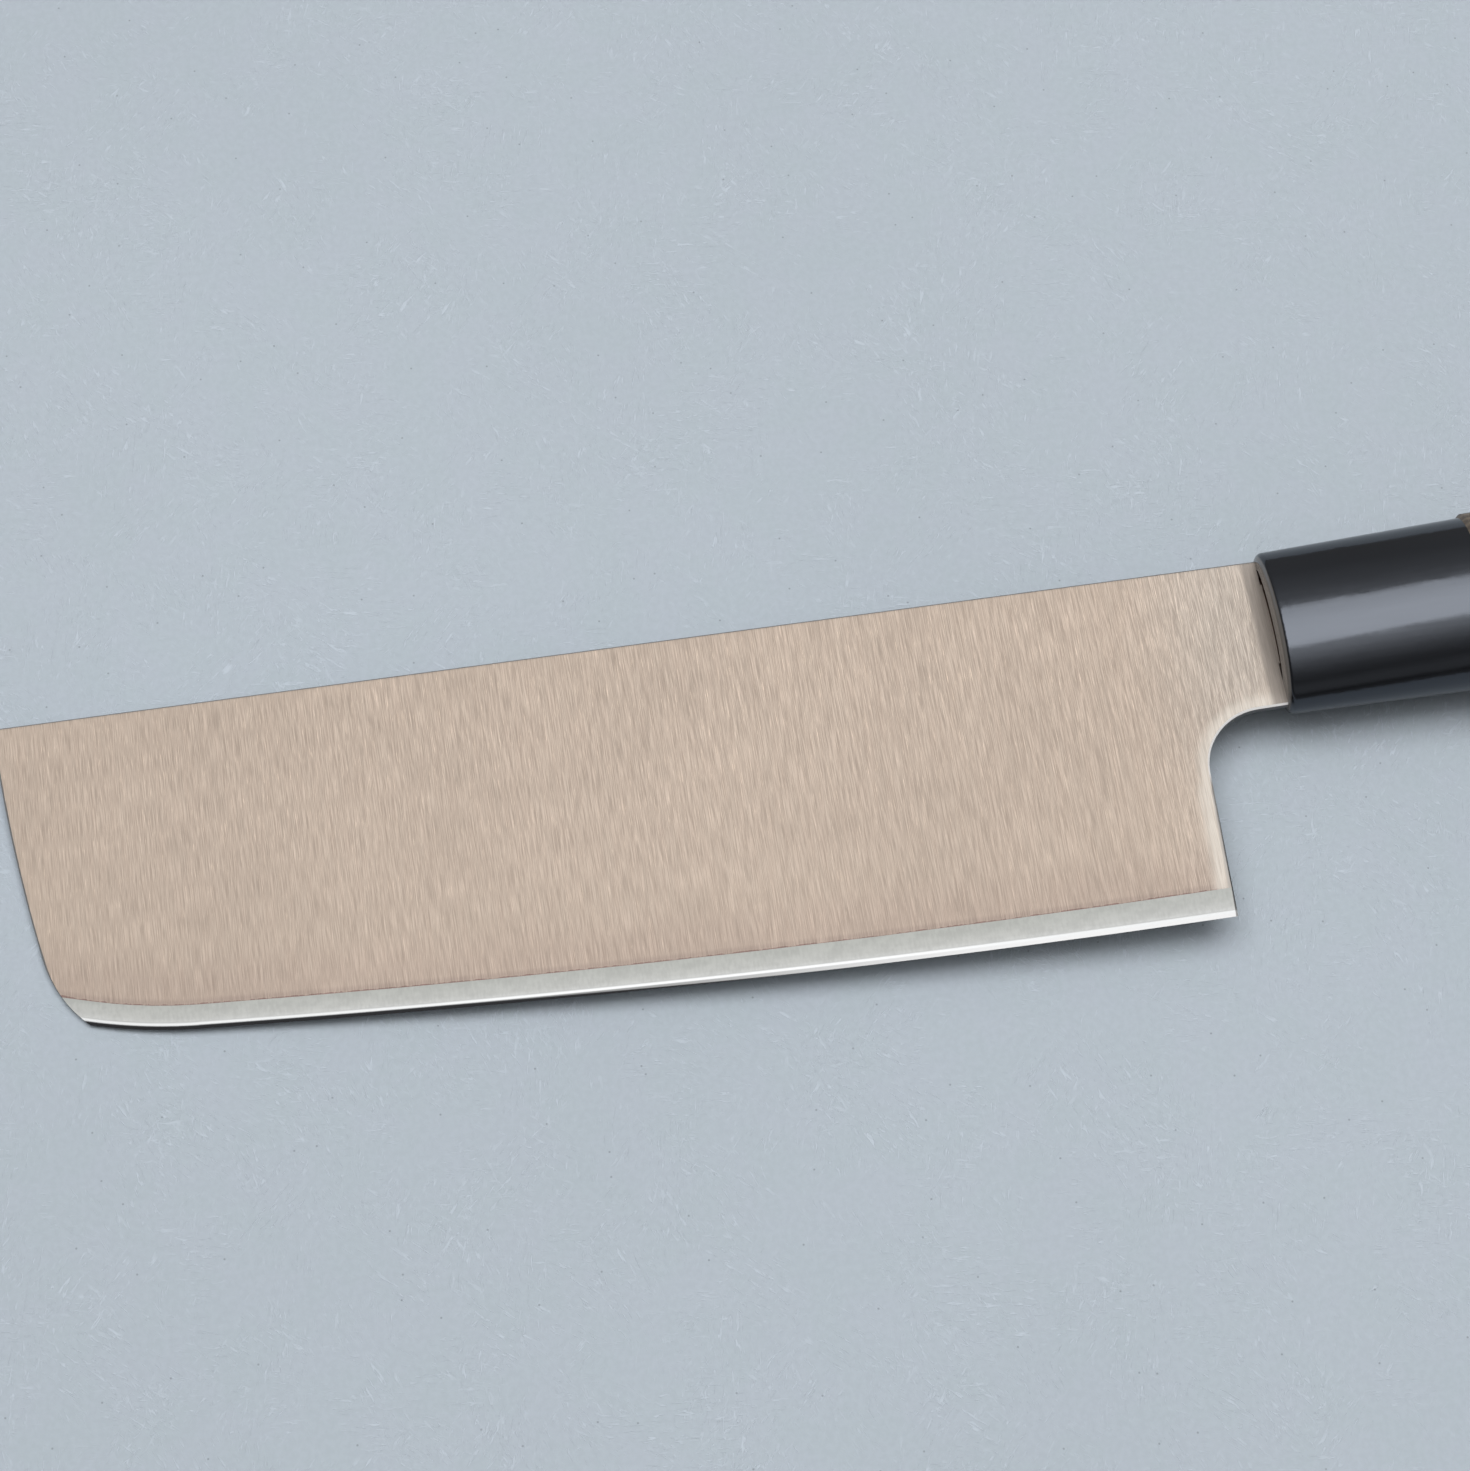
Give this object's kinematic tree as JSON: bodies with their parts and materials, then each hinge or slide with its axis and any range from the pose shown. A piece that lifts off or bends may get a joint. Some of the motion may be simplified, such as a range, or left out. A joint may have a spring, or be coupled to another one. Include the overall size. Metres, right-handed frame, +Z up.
{
  "type": "nakiri knife",
  "caption": "Japanese vegetable knife with a straight, squared blade of layered steel, an oval black collar and an oval wooden grip.",
  "frame": {"origin": "on the surface that the knife lies on, under the middle of its bounding box", "axes": "+Z up; +X from the blade's tip to the butt of the grip; +Y from the cutting edge to the spine; the knife lies on its right side"},
  "size_m": [0.3043, 0.0548, 0.023],
  "materials": {
    "hard_steel": "fine satin",
    "soft_steel": "warm satin, brushed from spine to edge",
    "black_collar": "polished black",
    "grip_wood": "smooth, oiled",
    "sealant": "matt brown",
    "resin": "matt"
  },
  "bodies": {
    "root": {"core_steel": "hard_steel", "left_cladding": "soft_steel", "right_cladding": "soft_steel", "ferrule": "black_collar", "handle": "grip_wood", "mouth_seal": "sealant", "tang_adhesive": "resin"}
  },
  "joints": []
}
